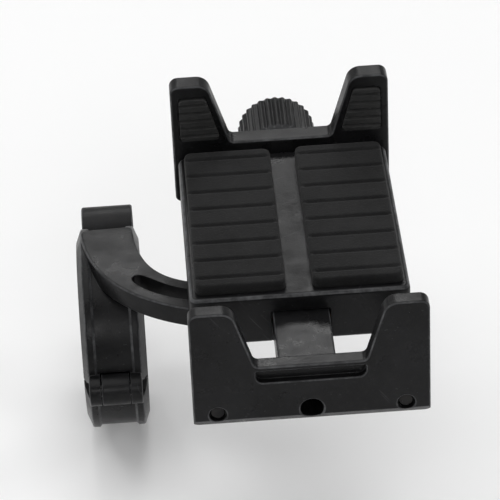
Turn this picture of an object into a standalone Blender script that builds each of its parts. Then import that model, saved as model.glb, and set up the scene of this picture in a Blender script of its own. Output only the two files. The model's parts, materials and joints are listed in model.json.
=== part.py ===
"""A four-claw phone mount for a bicycle handlebar.

The origin is the centre of the handlebar bore. +X runs along the bar, +Y points away from the rider
and +Z up. The tray stands to the right of the clamp, on the end of a curved arm, and swivels on it.
Sizes are in metres. Run this with blender --background --python part.py.
"""

import math

import bmesh
import bpy

# The handlebar and the clamp around it
BAR_RADIUS = 0.0159
LINER_THICKNESS = 0.0012
SHELL_THICKNESS = 0.0040
CLAMP_WIDTH = 0.0134
CLAMP_RIM_WIDTH = 0.0112
CLAMP_GROOVE = 0.0005
SPLIT_GAP = 0.0012
HINGE_Y = -0.0224
HINGE_RADIUS = 0.0033
HINGE_TONGUE = 0.0058
HINGE_PIN_RADIUS = 0.0014
CLAMP_BOLT_Y = 0.0254
CLAMP_BOLT_RADIUS = 0.00195
BARREL_Z = 0.0068
BARREL_RADIUS = 0.0040
EAR_WALL = 0.0020
LOWER_EAR_DEPTH = 0.0068
EAR_START = 0.0184

# The arm from the clamp to the swivel, seen from above
ARM_THICKNESS = 0.0046
ARM_WIDTH = 0.0112
ARM_WAIST = 0.0092
ARM_START = (0.0, 0.0050)
ARM_BEND = (0.0010, -0.0270)
BOSS_RADIUS = 0.0115
SLOT_FIRST = 0.36
SLOT_LAST = 0.74
SLOT_HALF_WIDTH = 0.00185

# The tray, measured from the swivel axis and from the top of its pads
SEAT = (0.0380, -0.0230, 0.0421)
OPENING = 0.0744
FAR_FACE = 0.0262
TRAY_WIDTH = 0.0436
TRAY_NEAR_END = -0.0254
TRAY_TOP = -0.0022
TRAY_BOTTOM = -0.0135
TUNNEL_END = 0.0180
HUB_BOTTOM = -0.0185
SIDE_GROOVE_DEPTH = 0.0007
SEAT_PAD_THICKNESS = 0.0020
SEAT_PAD_X = 0.0116
SEAT_PAD_WIDTH = 0.0180
SEAT_PAD_MARGIN = 0.0016

# The claws and what moves them
JAW_WIDTH = 0.0454
CLAW_TOP = 0.0135
FAR_CLAW_TOP = 0.0148
JAW_BOTTOM = -0.0131
NEAR_PLATE = 0.0034
FAR_PLATE = 0.0044
FAR_SCREW_X = 0.0114
FAR_SCREW_Z = -0.0082
CLAW_PAD_THICKNESS = 0.0012
CLAW_PAD_PROUD = 0.0006
SCREW_Z = -0.0100
SCREW_RADIUS = 0.00195
TONGUE_WIDTH = 0.0112
TONGUE_TOP = -0.0062
TONGUE_LENGTH = 0.0438
ROD_RADIUS = 0.0015
ROD_X = 0.0180
ROD_LENGTH = 0.0540
KNOB_RADIUS = 0.00825
KNOB_LENGTH = 0.0130
NECK_RADIUS = 0.0050
NECK_LENGTH = 0.0030

# Clearances: between faces that rest on each other, and around round pieces
GAP = 0.0002
BORE_GAP = 0.0003

# Worked out from the above
SHELL_INNER = BAR_RADIUS + LINER_THICKNESS + BORE_GAP
SHELL_OUTER = SHELL_INNER + SHELL_THICKNESS
ARM_TOP = SEAT[2] + HUB_BOTTOM - 0.0012
NEAR_FACE = FAR_FACE - OPENING
NEAR_INNER = NEAR_FACE - CLAW_PAD_PROUD
NEAR_OUTER = NEAR_INNER - NEAR_PLATE
FAR_INNER = FAR_FACE + CLAW_PAD_PROUD
FAR_OUTER = FAR_INNER + FAR_PLATE
TRAY_FAR_END = FAR_INNER - GAP
RECESS_DEPTH = CLAW_PAD_THICKNESS - CLAW_PAD_PROUD + GAP
KNOB_START = FAR_OUTER + 0.0012

# Turns that stand a piece made along Z on another axis
ALONG = {
    "X": (0.0, math.pi / 2, 0.0),
    "Y": (-math.pi / 2, 0.0, 0.0),
    "Z": (0.0, 0.0, 0.0),
}


def clear_scene():
    for obj in list(bpy.data.objects):
        bpy.data.objects.remove(obj)


def new_collection(name):
    collection = bpy.data.collections.new(name)
    bpy.context.scene.collection.children.link(collection)
    return collection


def new_material(name, colour, roughness, metallic):
    material = bpy.data.materials.new(name)
    material.use_nodes = True
    shader = material.node_tree.nodes["Principled BSDF"]
    shader.inputs["Base Color"].default_value = (*colour, 1.0)
    shader.inputs["Roughness"].default_value = roughness
    shader.inputs["Metallic"].default_value = metallic
    return material


clear_scene()
PARTS = new_collection("phone_mount")
CUTTERS = new_collection("cutters")

FINISHES = {
    "anodised": ((0.012, 0.012, 0.013), 0.42, 0.8),
    "rubber": ((0.010, 0.010, 0.010), 0.85, 0.0),
    "foam": ((0.016, 0.016, 0.016), 0.95, 0.0),
    "steel": ((0.55, 0.55, 0.56), 0.28, 1.0),
    "black_steel": ((0.020, 0.020, 0.021), 0.38, 0.9),
    "nylon": ((0.75, 0.74, 0.70), 0.45, 0.0),
}


def new_axis(name, location, parent=None):
    """An empty that stands on a joint's axis and carries the pieces that turn or slide there."""
    axis = bpy.data.objects.new(name, None)
    axis.location = location
    axis.parent = parent
    PARTS.objects.link(axis)
    return axis


def add_object(name, mesh, parent, location, axis="Z"):
    mesh.shade_smooth()
    mesh.set_sharp_from_angle(angle=math.radians(35))
    obj = bpy.data.objects.new(name, mesh)
    obj.parent = parent
    obj.location = location
    obj.rotation_euler = ALONG[axis]
    PARTS.objects.link(obj)
    return obj


def mesh_from(bm, name):
    mesh = bpy.data.meshes.new(name)
    bm.to_mesh(mesh)
    bm.free()
    return mesh


def box(name, parent, low, high, bevel=0.0):
    """A block between two corners, its edges rounded by a Bevel modifier."""
    bm = bmesh.new()
    bmesh.ops.create_cube(bm, size=1.0)
    bmesh.ops.scale(bm, vec=[b - a for a, b in zip(low, high)], verts=bm.verts)
    middle = [(a + b) / 2 for a, b in zip(low, high)]
    obj = add_object(name, mesh_from(bm, name), parent, middle)
    if bevel:
        add_bevel(obj, bevel, 3)
    return obj


def add_bevel(obj, width, segments):
    modifier = obj.modifiers.new("edges", "BEVEL")
    modifier.width = width
    modifier.segments = segments
    modifier.limit_method = "ANGLE"
    modifier.angle_limit = math.radians(50)


def cylinder(name, parent, radius, start, length, axis="Z", sides=40, end_radius=None):
    """A round or six-sided bar from a start point along an axis. An end radius makes it a cone."""
    bm = bmesh.new()
    bmesh.ops.create_cone(
        bm,
        cap_ends=True,
        segments=sides,
        radius1=radius,
        radius2=radius if end_radius is None else end_radius,
        depth=length,
    )
    bmesh.ops.translate(bm, vec=(0.0, 0.0, length / 2), verts=bm.verts)
    return add_object(name, mesh_from(bm, name), parent, start, axis)


def turned(name, parent, profile, start, axis="Z", closed=False, steps=64):
    """A turned piece. Its (radius, height) profile runs down the outer side and is spun by a Screw."""
    mesh = bpy.data.meshes.new(name)
    bm = bmesh.new()
    points = [bm.verts.new((radius, 0.0, height)) for radius, height in profile]
    for a, b in zip(points, points[1:]):
        bm.edges.new((a, b))
    if closed:
        bm.edges.new((points[-1], points[0]))
    bm.to_mesh(mesh)
    bm.free()
    obj = add_object(name, mesh, parent, start, axis)
    modifier = obj.modifiers.new("turn", "SCREW")
    modifier.steps = steps
    modifier.render_steps = steps
    modifier.use_merge_vertices = True
    modifier.merge_threshold = 0.00001
    return obj


def rounded(corners, segments=5):
    """An outline from (x, y, radius) corners, each rounded by an arc that meets both its sides."""
    points = []
    for i, (x, y, radius) in enumerate(corners):
        before = corners[i - 1]
        after = corners[(i + 1) % len(corners)]
        angle_in = math.atan2(before[1] - y, before[0] - x)
        angle_out = math.atan2(after[1] - y, after[0] - x)
        turn = (angle_out - angle_in + math.pi) % (2 * math.pi) - math.pi
        if radius == 0.0:
            points.append((x, y))
            continue
        reach = radius / math.sin(abs(turn) / 2)
        middle = angle_in + turn / 2
        centre = (x + reach * math.cos(middle), y + reach * math.sin(middle))
        sweep = math.copysign(math.pi - abs(turn), turn)
        for step in range(segments + 1):
            angle = middle + math.pi + sweep * (0.5 - step / segments)
            points.append((centre[0] + radius * math.cos(angle), centre[1] + radius * math.sin(angle)))
    return points


def plate(name, parent, outline, thickness, location, rotation=(0.0, 0.0, 0.0)):
    """A flat outline given thickness: a filled curve, made a mesh so that it can be cut and joined."""
    curve = bpy.data.curves.new(name, "CURVE")
    curve.dimensions = "2D"
    curve.fill_mode = "BOTH"
    curve.extrude = thickness / 2
    spline = curve.splines.new("POLY")
    spline.points.add(len(outline) - 1)
    for point, (x, y) in zip(spline.points, outline):
        point.co = (x, y, 0.0, 1.0)
    spline.use_cyclic_u = True
    drawn = bpy.data.objects.new(name + "_outline", curve)
    PARTS.objects.link(drawn)
    evaluated = drawn.evaluated_get(bpy.context.evaluated_depsgraph_get())
    mesh = bpy.data.meshes.new_from_object(evaluated)
    bpy.data.objects.remove(drawn)
    bm = bmesh.new()
    bm.from_mesh(mesh)
    bmesh.ops.remove_doubles(bm, verts=bm.verts, dist=0.000001)
    bmesh.ops.recalc_face_normals(bm, faces=bm.faces)
    bm.to_mesh(mesh)
    bm.free()
    obj = add_object(name, mesh, parent, location)
    obj.rotation_euler = rotation
    return obj


# Turns that stand a plate drawn in X and Y up across the Y axis, or up across the X axis
ACROSS_Y = (math.pi / 2, 0.0, 0.0)
ACROSS_X = (math.pi / 2, 0.0, math.pi / 2)


def combine(target, tool, operation):
    modifier = target.modifiers.new(tool.name, "BOOLEAN")
    modifier.operation = operation
    modifier.solver = "EXACT"
    modifier.object = tool
    PARTS.objects.unlink(tool)
    CUTTERS.objects.link(tool)
    tool.hide_render = True
    tool.display_type = "WIRE"


def cut(target, *tools):
    for tool in tools:
        combine(target, tool, "DIFFERENCE")


def join(target, *pieces):
    for piece in pieces:
        combine(target, piece, "UNION")


def finish(obj, finish_name):
    obj.data.materials.clear()
    obj.data.materials.append(MATERIALS[finish_name])


MATERIALS = {name: new_material(name, *values) for name, values in FINISHES.items()}

BAR = new_axis("bar_axis", (0.0, 0.0, 0.0))
HINGE = new_axis("clamp_hinge_axis", (0.0, HINGE_Y, 0.0), BAR)
CLAMP_BOLT = new_axis("clamp_bolt_axis", (0.0, CLAMP_BOLT_Y, 0.0), BAR)
TRAY = new_axis("swivel_axis", SEAT, BAR)
SCREW = new_axis("lead_screw_axis", (0.0, 0.0, SCREW_Z), TRAY)


# The clamp


def clamp_ring(name):
    """The whole clamp ring, narrower at its rim, with a shallow groove round the outside."""
    half_inner = CLAMP_WIDTH / 2
    half_rim = CLAMP_RIM_WIDTH / 2
    half_groove = half_rim - 0.0019
    groove_radius = SHELL_OUTER - CLAMP_GROOVE
    profile = [
        (SHELL_INNER, half_inner),
        (SHELL_INNER + 0.0012, half_inner),
        (SHELL_OUTER, half_rim),
        (SHELL_OUTER, half_groove + CLAMP_GROOVE),
        (groove_radius, half_groove),
        (groove_radius, -half_groove),
        (SHELL_OUTER, -half_groove - CLAMP_GROOVE),
        (SHELL_OUTER, -half_rim),
        (SHELL_INNER + 0.0012, -half_inner),
        (SHELL_INNER, -half_inner),
    ]
    return turned(name, BAR, profile, (0.0, 0.0, 0.0), "X", closed=True)


def half_space(name, side):
    """A block that covers everything beyond the split, above it or below it."""
    reach = 0.060
    edge = SPLIT_GAP / 2
    low, high = (-reach, edge) if side == "below" else (-edge, reach)
    return box(name, BAR, (-reach, -reach, low), (reach, reach, high))


def hinge_barrel(name, half_length, radius):
    return cylinder(name, HINGE, radius, (-half_length, 0.0, 0.0), 2 * half_length, "X", 32)


def arm_point(t):
    """A point of the arm's centre line, a quadratic curve from the clamp to the swivel."""
    end = SEAT[:2]
    a, b, c = (1 - t) ** 2, 2 * t * (1 - t), t**2
    return [a * p + b * q + c * r for p, q, r in zip(ARM_START, ARM_BEND, end)]


def arm_side(t, offset):
    """The point beside the centre line, an offset to its left as it runs to the swivel."""
    step = 0.001
    x, y = arm_point(t)
    ahead, behind = arm_point(t + step), arm_point(t - step)
    dx, dy = ahead[0] - behind[0], ahead[1] - behind[1]
    length = math.hypot(dx, dy)
    return (x - offset * dy / length, y + offset * dx / length)


def arm_outline(first, last, half_width, steps):
    """The strip on both sides of the centre line. half_width is a function of the place along it."""
    places = [first + (last - first) * i / steps for i in range(steps + 1)]
    left = [arm_side(t, half_width(t)) for t in places]
    right = [arm_side(t, -half_width(t)) for t in reversed(places)]
    return left + right


def arm_half_width(t):
    waist = (ARM_WIDTH - ARM_WAIST) / 2
    return ARM_WIDTH / 2 - waist * math.sin(math.pi * t) ** 2


def slot_half_width(t):
    """The slot in the arm: a lens with round ends, between two places on the centre line."""
    place = 2 * (t - SLOT_FIRST) / (SLOT_LAST - SLOT_FIRST) - 1
    return max(SLOT_HALF_WIDTH * (1 - abs(place) ** 6) ** 0.5, 0.0001)


def make_arm():
    """The upper clamp shell, the arm and the swivel boss, milled from one block."""
    middle = ARM_TOP - ARM_THICKNESS / 2
    arm = plate("arm", BAR, arm_outline(0.0, 1.0, arm_half_width, 24), ARM_THICKNESS, (0, 0, middle))
    add_bevel(arm, 0.0005, 1)
    boss_bottom = (SEAT[0], SEAT[1], ARM_TOP - ARM_THICKNESS)
    boss = cylinder("arm_boss", BAR, BOSS_RADIUS, boss_bottom, ARM_THICKNESS, sides=64)
    upper = clamp_ring("arm_ring")
    cut(upper, half_space("arm_split", "below"))
    half_rim = CLAMP_RIM_WIDTH / 2
    ear_radius = BARREL_RADIUS + BORE_GAP + EAR_WALL
    ear = cylinder("arm_ear", CLAMP_BOLT, ear_radius, (-half_rim, 0, BARREL_Z), 2 * half_rim, "X")
    web_low = (-half_rim, EAR_START, SPLIT_GAP / 2)
    web = box("arm_web", BAR, web_low, (half_rim, CLAMP_BOLT_Y, BARREL_Z))
    knuckles = hinge_barrel("arm_knuckles", half_rim, HINGE_RADIUS)
    join(arm, boss, upper, web, ear, knuckles)
    tongue_room = hinge_barrel("arm_tongue_room", HINGE_TONGUE / 2 + BORE_GAP, HINGE_RADIUS + BORE_GAP)
    pin_bore = hinge_barrel("arm_pin_bore", 0.010, HINGE_PIN_RADIUS + GAP)
    under_ear = box("arm_under_ear", BAR, (-0.010, 0.0180, -0.010), (0.010, 0.035, SPLIT_GAP / 2))
    nut_bore = cylinder(
        "arm_nut_bore", CLAMP_BOLT, BARREL_RADIUS + BORE_GAP, (-0.010, 0, BARREL_Z), 0.020, "X"
    )
    bolt_bore = cylinder("arm_bolt_bore", CLAMP_BOLT, 0.0025, (0, 0, -0.001), 0.0125, sides=32)
    slot = plate(
        "arm_slot", BAR, arm_outline(SLOT_FIRST, SLOT_LAST, slot_half_width, 24), 0.010, (0, 0, middle)
    )
    swivel_bore = cylinder("arm_swivel_bore", BAR, 0.0028, boss_bottom, 0.010, sides=32)
    swivel_bore.location.z -= 0.002
    counterbore = cylinder("arm_counterbore", BAR, 0.0056, boss_bottom, 0.0039, sides=48)
    counterbore.location.z -= 0.001
    cut(arm, tongue_room, pin_bore, under_ear, nut_bore, bolt_bore, slot, swivel_bore, counterbore)
    finish(arm, "anodised")


def slot_outline(half_width, half_length):
    """A slot with round ends that runs along Y."""
    radius = half_width - 0.0001
    sides = ((-1, -1), (1, -1), (1, 1), (-1, 1))
    return rounded([(half_width * x, half_length * y, radius) for x, y in sides])


def make_lower_clamp():
    """The lower clamp shell, with the hinge tongue at the rider's side and the bolt ear in front."""
    lower = clamp_ring("clamp_lower")
    half_rim = CLAMP_RIM_WIDTH / 2
    edge = -SPLIT_GAP / 2
    ear = box(
        "lower_ear",
        BAR,
        (-half_rim, EAR_START, edge - LOWER_EAR_DEPTH),
        (half_rim, CLAMP_BOLT_Y + half_rim, edge),
    )
    add_bevel(ear, 0.0012, 2)
    tongue = hinge_barrel("lower_tongue", HINGE_TONGUE / 2, HINGE_RADIUS)
    cut(lower, half_space("lower_split", "above"))
    room_length = 0.0070
    room_radius = HINGE_RADIUS + BORE_GAP
    for side, start in (("left", -HINGE_TONGUE / 2 - room_length), ("right", HINGE_TONGUE / 2)):
        cut(lower, cylinder(f"lower_room_{side}", HINGE, room_radius, (start, 0, 0), room_length, "X"))
    join(lower, ear, tongue)
    pin_bore = hinge_barrel("lower_pin_bore", 0.010, HINGE_PIN_RADIUS + GAP)
    slot = plate("lower_bolt_slot", CLAMP_BOLT, slot_outline(0.0024, 0.0032), 0.020, (0, 0, -0.004))
    cut(lower, pin_bore, slot)
    finish(lower, "anodised")


def make_liner(name, side):
    """Half of the rubber liner between the bar and a shell."""
    half_width = CLAMP_WIDTH / 2 - 0.0001
    inner = BAR_RADIUS + 0.00005
    outer = inner + LINER_THICKNESS
    profile = [(inner, half_width), (outer, half_width), (outer, -half_width), (inner, -half_width)]
    liner = turned(name, BAR, profile, (0.0, 0.0, 0.0), "X", closed=True)
    cut(liner, half_space(name + "_split", side))
    finish(liner, "rubber")


def make_clamp_hardware():
    pin_length = CLAMP_RIM_WIDTH - 0.0004
    pin = cylinder(
        "hinge_pin", HINGE, HINGE_PIN_RADIUS, (-pin_length / 2, 0, 0), pin_length, "X", 32
    )
    finish(pin, "black_steel")

    nut_length = CLAMP_RIM_WIDTH - 0.0006
    nut = cylinder(
        "barrel_nut", CLAMP_BOLT, BARREL_RADIUS, (-nut_length / 2, 0, BARREL_Z), nut_length, "X"
    )
    thread = cylinder("barrel_nut_thread", CLAMP_BOLT, 0.00225, (0, 0, 0.0), 0.015, sides=32)
    cut(nut, thread)
    finish(nut, "black_steel")

    under = -SPLIT_GAP / 2 - LOWER_EAR_DEPTH - GAP
    head = 0.0035
    radius = CLAMP_BOLT_RADIUS
    profile = [
        (0.0, BARREL_Z + 0.0036),
        (radius - 0.0004, BARREL_Z + 0.0036),
        (radius, BARREL_Z + 0.0032),
        (radius, under),
        (head, under),
        (head, under - 0.0037),
        (head - 0.0003, under - 0.0040),
        (0.0, under - 0.0040),
    ]
    bolt = turned("clamp_bolt", CLAMP_BOLT, profile, (0, 0, 0), steps=48)
    cut(bolt, cylinder("clamp_bolt_socket", CLAMP_BOLT, 0.00173, (0, 0, under - 0.006), 0.0042, sides=6))
    finish(bolt, "black_steel")


# The swivel under the tray


def make_swivel():
    """A flat ring that the tray turns on, and the low-head bolt and spring washer that hold it."""
    ring_bottom = HUB_BOTTOM - 0.0010
    half = 0.0004
    profile = [(0.0030, half), (0.0109, half), (0.0109, -half), (0.0030, -half)]
    ring = turned("friction_ring", TRAY, profile, (0, 0, ring_bottom + half), closed=True, steps=64)
    finish(ring, "nylon")

    seat = ARM_TOP - ARM_THICKNESS + 0.0029 - SEAT[2]
    half = 0.00025
    profile = [(0.0028, half), (0.0048, half), (0.0048, -half), (0.0028, -half)]
    washer = turned("spring_washer", TRAY, profile, (0, 0, seat - GAP - half), closed=True, steps=48)
    finish(washer, "steel")

    top = TRAY_BOTTOM - 0.0012
    head_top = seat - 2 * GAP - 2 * half
    profile = [
        (0.0, top),
        (0.0021, top),
        (0.0024, top - 0.0003),
        (0.0024, head_top),
        (0.0046, head_top),
        (0.0046, head_top - 0.0017),
        (0.0043, head_top - 0.0020),
        (0.0, head_top - 0.0020),
    ]
    bolt = turned("swivel_bolt", TRAY, profile, (0, 0, 0), steps=48)
    cut(bolt, cylinder("swivel_bolt_socket", TRAY, 0.0017, (0, 0, head_top - 0.003), 0.0024, sides=6))
    finish(bolt, "black_steel")


# The tray


def make_base_body():
    """The block that the phone lies on, with the tunnel for the near jaw's tongue and the swivel hub."""
    half_width = TRAY_WIDTH / 2
    body = box(
        "base_body",
        TRAY,
        (-half_width, TRAY_NEAR_END, TRAY_BOTTOM),
        (half_width, TRAY_FAR_END, TRAY_TOP),
        bevel=0.0010,
    )
    half_tunnel = TONGUE_WIDTH / 2 + BORE_GAP
    tunnel = box(
        "body_tunnel",
        TRAY,
        (-half_tunnel, TRAY_NEAR_END - 0.002, TRAY_BOTTOM - 0.002),
        (half_tunnel, TUNNEL_END, TONGUE_TOP + BORE_GAP),
    )
    cut(body, tunnel)
    hub_height = TRAY_BOTTOM + 0.00005 - HUB_BOTTOM
    join(body, cylinder("body_hub", TRAY, BOSS_RADIUS, (0, 0, HUB_BOTTOM), hub_height, sides=64))
    cut(
        body,
        cylinder("body_swivel_thread", TRAY, 0.0027, (0, 0, HUB_BOTTOM - 0.002), 0.0062, sides=32),
        cylinder(
            "body_screw_bore", SCREW, SCREW_RADIUS + BORE_GAP, (0, TUNNEL_END - 0.001, 0), 0.012, "Y", 32
        ),
        box("body_clip_pocket", TRAY, (-0.0052, 0.0202, -0.020), (0.0052, 0.0226, -0.0050)),
    )
    for side, x in (("left", -ROD_X), ("right", ROD_X)):
        bore_start = (x, TRAY_NEAR_END - 0.002, 0)
        bore = cylinder(
            f"body_rod_bore_{side}", SCREW, ROD_RADIUS + BORE_GAP, bore_start, 0.0525, "Y", 32
        )
        cut(body, bore)
        hole_start = (x * FAR_SCREW_X / ROD_X, TRAY_FAR_END - 0.0080, FAR_SCREW_Z)
        cut(body, cylinder(f"body_screw_hole_{side}", TRAY, 0.0017, hole_start, 0.010, "Y", 24))
        wall = math.copysign(half_width, x)
        groove = box(
            f"body_side_groove_{side}",
            TRAY,
            (wall - SIDE_GROOVE_DEPTH, TRAY_NEAR_END + 0.006, -0.0066),
            (wall + SIDE_GROOVE_DEPTH, TRAY_FAR_END - 0.006, -0.0046),
        )
        cut(body, groove)
    finish(body, "anodised")


def make_seat_pads():
    """The two foam pads that the phone's back lies on."""
    half = SEAT_PAD_WIDTH / 2
    for side, x in (("left", -SEAT_PAD_X), ("right", SEAT_PAD_X)):
        pad = box(
            f"seat_pad_{side}",
            TRAY,
            (x - half, TRAY_NEAR_END + SEAT_PAD_MARGIN, -SEAT_PAD_THICKNESS),
            (x + half, TRAY_FAR_END - SEAT_PAD_MARGIN, 0.0),
            bevel=0.0005,
        )
        finish(pad, "foam")


def claw_outline(top, bottom):
    """A U with a leaning inner side to each claw, seen from the rider's side."""
    half = JAW_WIDTH / 2
    floor = 0.0006
    floor_half = 0.0106
    lean = 0.305
    top_half = floor_half + lean * (top - floor)
    right = [
        (floor_half, floor, 0.0012),
        (top_half, top, 0.0030),
        (half, top, 0.0018),
        (half, bottom, 0.0012),
    ]
    left = [(-x, y, radius) for x, y, radius in reversed(right)]
    return rounded(right + left)


def claw_pad_outline(side, inset):
    """The rubber pad of one claw, or with an inset of 0 the recess that it lies in."""
    corners = [(0.0124, 0.0016), (0.0152, 0.0121), (0.0212, 0.0121), (0.0212, 0.0016)]
    middle = [sum(values) / len(corners) for values in zip(*corners)]
    shrunk = [
        (x - math.copysign(inset, x - middle[0]), y - math.copysign(inset, y - middle[1]), 0.0010)
        for x, y in corners
    ]
    return rounded([(side * x, y, radius) for x, y, radius in shrunk])


def add_claw_pads(jaw, prefix, inner, direction):
    """Cuts a recess in each claw's inner face and lays a pad in it, a little proud of the face."""
    for name, side in (("left", -1), ("right", 1)):
        recess = plate(
            f"{prefix}_recess_{name}",
            TRAY,
            claw_pad_outline(side, 0.0),
            2 * RECESS_DEPTH,
            (0, inner, 0),
            ACROSS_Y,
        )
        cut(jaw, recess)
        middle = inner + direction * (CLAW_PAD_PROUD - CLAW_PAD_THICKNESS / 2)
        pad = plate(
            f"{prefix}_pad_{name}",
            TRAY,
            claw_pad_outline(side, GAP),
            CLAW_PAD_THICKNESS,
            (0, middle, 0),
            ACROSS_Y,
        )
        finish(pad, "rubber")


def outer_pocket(name, face):
    """A shallow pocket across the middle of a jaw's outer face, under the U."""
    half = 0.0105
    top, bottom = -0.0004, -0.0031
    corners = [(-half, top, 0.0002), (half, top, 0.0002), (half, bottom, 0.0014), (-half, bottom, 0.0014)]
    return plate(name, TRAY, rounded(corners), 0.0030, (0, face, 0), ACROSS_Y)


def make_near_jaw():
    """The moving jaw: its claw plate and the tongue that the lead screw draws into the body."""
    middle = NEAR_INNER - NEAR_PLATE / 2
    jaw = plate("near_jaw", TRAY, claw_outline(CLAW_TOP, JAW_BOTTOM), NEAR_PLATE, (0, middle, 0), ACROSS_Y)
    add_bevel(jaw, 0.0004, 2)
    half = TONGUE_WIDTH / 2
    tongue = box(
        "near_tongue",
        TRAY,
        (-half, NEAR_INNER - 0.001, JAW_BOTTOM),
        (half, NEAR_INNER + TONGUE_LENGTH, TONGUE_TOP),
    )
    add_bevel(tongue, 0.0004, 1)
    join(jaw, tongue)
    bore = cylinder(
        "near_screw_bore", SCREW, SCREW_RADIUS + BORE_GAP, (0, NEAR_OUTER - 0.002, 0), 0.052, "Y", 32
    )
    rise, run = 0.0019, 0.0015
    foot = [(-run / 2, rise * 1.5), (-run / 2, -rise), (run * 2, -rise)]
    chamfer = plate("near_chamfer", TRAY, foot, 0.060, (0, NEAR_OUTER, JAW_BOTTOM), ACROSS_X)
    cut(jaw, bore, chamfer, outer_pocket("near_pocket", NEAR_OUTER))
    for side, x in (("left", -ROD_X), ("right", ROD_X)):
        hole_start = (x, NEAR_OUTER - 0.002, 0)
        cut(jaw, cylinder(f"near_rod_hole_{side}", SCREW, ROD_RADIUS + GAP, hole_start, 0.008, "Y", 32))
        rod_start = (x, NEAR_OUTER + 0.0008, 0)
        rod = cylinder(f"guide_rod_{side}", SCREW, ROD_RADIUS, rod_start, ROD_LENGTH, "Y", 32)
        finish(rod, "black_steel")
    add_claw_pads(jaw, "near", NEAR_INNER, 1)
    finish(jaw, "anodised")


def make_far_jaw():
    """The fixed jaw, screwed to the end of the body."""
    middle = FAR_INNER + FAR_PLATE / 2
    outline = claw_outline(FAR_CLAW_TOP, TRAY_BOTTOM)
    jaw = plate("far_jaw", TRAY, outline, FAR_PLATE, (0, middle, 0), ACROSS_Y)
    add_bevel(jaw, 0.0004, 2)
    bore_start = (0, FAR_INNER - 0.002, 0)
    bore = cylinder("far_screw_bore", SCREW, SCREW_RADIUS + BORE_GAP, bore_start, 0.010, "Y", 32)
    cut(jaw, bore, outer_pocket("far_pocket", FAR_OUTER))
    for name, side in (("left", -1), ("right", 1)):
        x = side * FAR_SCREW_X
        hole = cylinder(
            f"far_hole_{name}", TRAY, 0.0017, (x, FAR_INNER - 0.002, FAR_SCREW_Z), 0.008, "Y", 32
        )
        sink_depth = 0.0022
        sink = cylinder(
            f"far_sink_{name}",
            TRAY,
            0.0014,
            (x, FAR_OUTER - sink_depth + 0.0004, FAR_SCREW_Z),
            sink_depth,
            "Y",
            32,
            end_radius=0.0036,
        )
        cut(jaw, hole, sink)
        make_far_screw(f"far_screw_{name}", x)
    add_claw_pads(jaw, "far", FAR_INNER, -1)
    finish(jaw, "anodised")


def make_far_screw(name, x):
    """A countersunk screw, its flat head level with the jaw's outer face."""
    head = 0.0029
    shank = 0.0014
    profile = [
        (0.0, 0.0),
        (head, 0.0),
        (head, -0.0002),
        (shank, -0.0002 - (head - shank)),
        (shank, -0.0108),
        (shank - 0.0003, -0.0111),
        (0.0, -0.0111),
    ]
    screw = turned(name, TRAY, profile, (x, FAR_OUTER - 0.0001, FAR_SCREW_Z), "Y", steps=32)
    socket_start = (x, FAR_OUTER - 0.0014, FAR_SCREW_Z)
    cut(screw, cylinder(name + "_socket", TRAY, 0.00115, socket_start, 0.003, "Y", 6))
    finish(screw, "black_steel")


# The lead screw, and the knob that turns it


def make_lead_screw():
    """The long screw along the tray's middle, with a groove for its retaining clip."""
    groove_near, groove_far = 0.0207, 0.0219
    start = -0.0270
    end = KNOB_START + 0.0138
    groove_radius = SCREW_RADIUS - 0.0004
    profile = [
        (0.0, end),
        (SCREW_RADIUS, end),
        (SCREW_RADIUS, groove_far),
        (groove_radius, groove_far),
        (groove_radius, groove_near),
        (SCREW_RADIUS, groove_near),
        (SCREW_RADIUS, start + 0.0005),
        (SCREW_RADIUS - 0.0005, start),
        (0.0, start),
    ]
    screw = turned("lead_screw", SCREW, profile, (0, 0, 0), "Y", steps=32)
    finish(screw, "steel")

    half = 0.00035
    inner = groove_radius + 0.0002
    profile = [(inner, half), (0.0040, half), (0.0040, -half), (inner, -half)]
    middle = (groove_near + groove_far) / 2
    clip = turned("retaining_clip", SCREW, profile, (0, middle, 0), "Y", closed=True, steps=40)
    mouth = box("clip_mouth", SCREW, (-0.0013, middle - 0.001, -0.006), (0.0013, middle + 0.001, 0.0))
    cut(clip, mouth)
    finish(clip, "black_steel")


def make_knob():
    """A round knob on a neck, bored for the screw, with a small set screw through the neck."""
    rim = 0.0012
    corner = [(KNOB_RADIUS - rim + rim * math.sin(a), -rim + rim * math.cos(a)) for a in quarter_turn()]
    end = NECK_LENGTH + KNOB_LENGTH
    outer_rim = [(r, end + h) for r, h in corner]
    inner_rim = [(r, NECK_LENGTH - h) for r, h in reversed(corner)]
    neck = [(NECK_RADIUS, NECK_LENGTH), (NECK_RADIUS, 0.0), (0.0, 0.0)]
    profile = [(0.0, end), *outer_rim, *inner_rim, *neck]
    knob = turned("knob", SCREW, profile, (0, KNOB_START, 0), "Y", steps=72)
    cut(
        knob,
        cylinder("knob_bore", SCREW, SCREW_RADIUS + BORE_GAP, (0, KNOB_START - 0.001, 0), 0.0151, "Y", 32),
        cylinder("knob_set_hole", SCREW, 0.0015, (0.0, KNOB_START + 0.0016, 0), 0.010, "X", 24),
    )
    finish(knob, "anodised")

    set_start = (SCREW_RADIUS + BORE_GAP, KNOB_START + 0.0016, 0)
    set_screw = cylinder("knob_set_screw", SCREW, 0.00125, set_start, 0.0026, "X", 24)
    socket_start = (set_start[0] + 0.0014, set_start[1], 0)
    cut(set_screw, cylinder("set_screw_socket", SCREW, 0.00065, socket_start, 0.004, "X", 6))
    finish(set_screw, "black_steel")

    half = 0.0004
    inner = SCREW_RADIUS + BORE_GAP
    profile = [(inner, half), (0.0056, half), (0.0056, -half), (inner, -half)]
    middle = (FAR_OUTER + KNOB_START) / 2
    washer = turned("thrust_washer", SCREW, profile, (0, middle, 0), "Y", closed=True, steps=48)
    finish(washer, "nylon")


def quarter_turn(steps=4):
    return [math.pi / 2 * i / steps for i in range(steps + 1)]


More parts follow.
